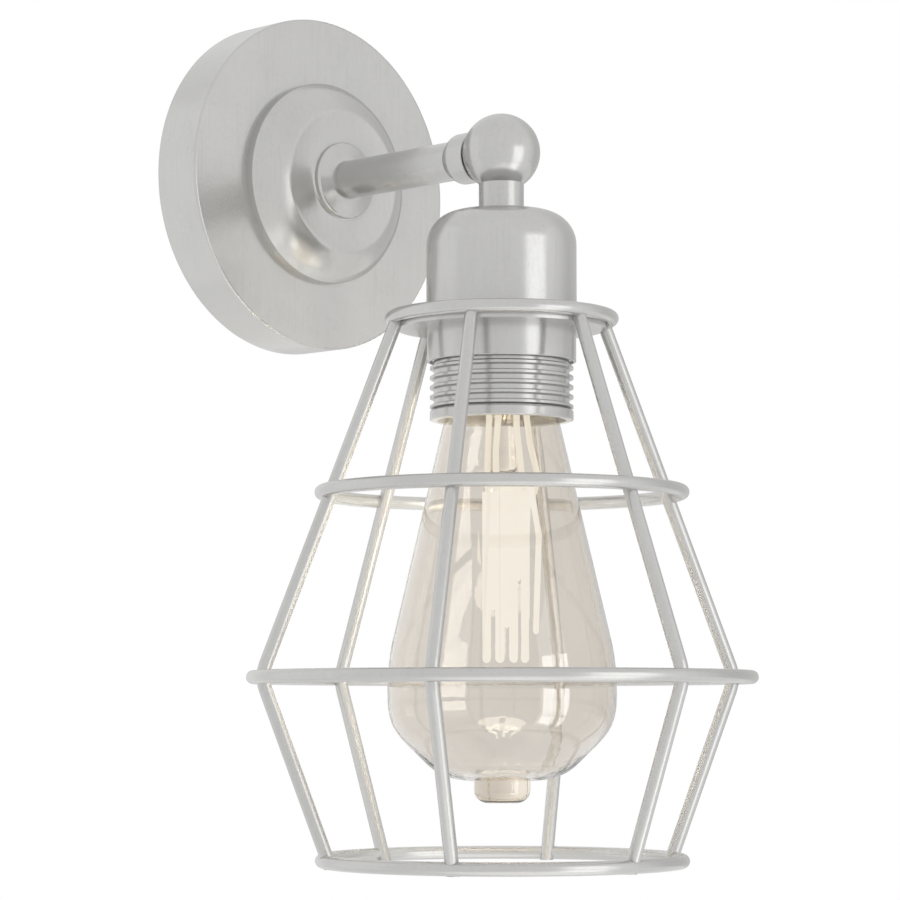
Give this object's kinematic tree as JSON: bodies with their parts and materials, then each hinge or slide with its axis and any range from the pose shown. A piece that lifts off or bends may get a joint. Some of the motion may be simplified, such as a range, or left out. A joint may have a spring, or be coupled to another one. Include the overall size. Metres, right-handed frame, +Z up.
{
  "type": "cage wall light",
  "caption": "Wall light with a round canopy, a short arm with a ball swivel, a lampholder and a wire cage round a teardrop filament bulb.",
  "frame": {"origin": "centre of the canopy's back on the wall, on the arm's axis", "axes": "+Z up, +Y into the wall, the light stands out along -Y, +X to the right as seen from the room"},
  "size_m": [0.1432, 0.1638, 0.2517],
  "materials": {
    "satin_nickel": "satin nickel plate",
    "zinc_steel": "zinc plate",
    "plain_brass": "plain turned brass",
    "cap_metal": "bright aluminium",
    "block_plastic": "white moulded",
    "white_ceramic": "white glaze",
    "cap_glass": "black vitrite",
    "bulb_clear": "clear, faint amber",
    "filament_wire": "fine wire"
  },
  "bodies": {
    "wall_part": {"canopy": "satin_nickel", "wall_strap": "zinc_steel", "canopy_screw": "zinc_steel", "canopy_catch": "zinc_steel", "terminal_block": "block_plastic", "terminal_clamps": "zinc_steel", "block_screw": "zinc_steel", "earth_screw": "plain_brass", "rosette": "satin_nickel", "arm_boss": "satin_nickel", "arm_nipple": "plain_brass", "arm_washer": "zinc_steel", "arm_nut": "zinc_steel", "arm_tube": "satin_nickel", "swivel_collar": "satin_nickel", "swivel_nipple": "plain_brass", "swivel_nut": "plain_brass"},
    "swivel_part": {"swivel_washer": "plain_brass"},
    "head": {"swivel_ball": "satin_nickel", "neck": "satin_nickel", "cup": "satin_nickel", "cup_washer": "zinc_steel", "cup_nuts": "zinc_steel", "holder_bridge": "zinc_steel", "bridge_screws": "zinc_steel", "socket_insulator": "white_ceramic", "screw_shell": "plain_brass", "centre_contact": "plain_brass", "wire_screws": "zinc_steel", "socket_sleeve": "satin_nickel", "ring_nut": "satin_nickel", "cage_plate": "satin_nickel", "cage_ring_top": "satin_nickel", "cage_ring_upper": "satin_nickel", "cage_ring_middle": "satin_nickel", "cage_ring_lower": "satin_nickel", "rib_1": "satin_nickel", "rib_2": "satin_nickel", "rib_3": "satin_nickel", "rib_4": "satin_nickel", "rib_5": "satin_nickel", "rib_6": "satin_nickel"},
    "bulb": {"bulb_glass": "bulb_clear", "bulb_cap": "cap_metal", "bulb_cap_insulator": "cap_glass", "bulb_contact": "plain_brass", "bulb_stem": "bulb_clear", "bulb_filament": "filament_wire", "filament_supports": "filament_wire"}
  },
  "joints": [
    {"name": "head_roll", "type": "hinge", "parent": "wall_part", "child": "swivel_part", "pos_m": [0, -0.0922, 0], "axis": [0, 1, 0], "range_deg": [-175, 175]},
    {"name": "head_tilt", "type": "hinge", "parent": "swivel_part", "child": "head", "pos_m": [0, -0.0922, 0], "axis": [-1, 0, 0], "range_deg": [0, 70]},
    {"name": "bulb_unscrew", "type": "slide", "parent": "head", "child": "bulb", "axis": [0, 0, -1], "range_m": [0, 0.165]}
  ]
}
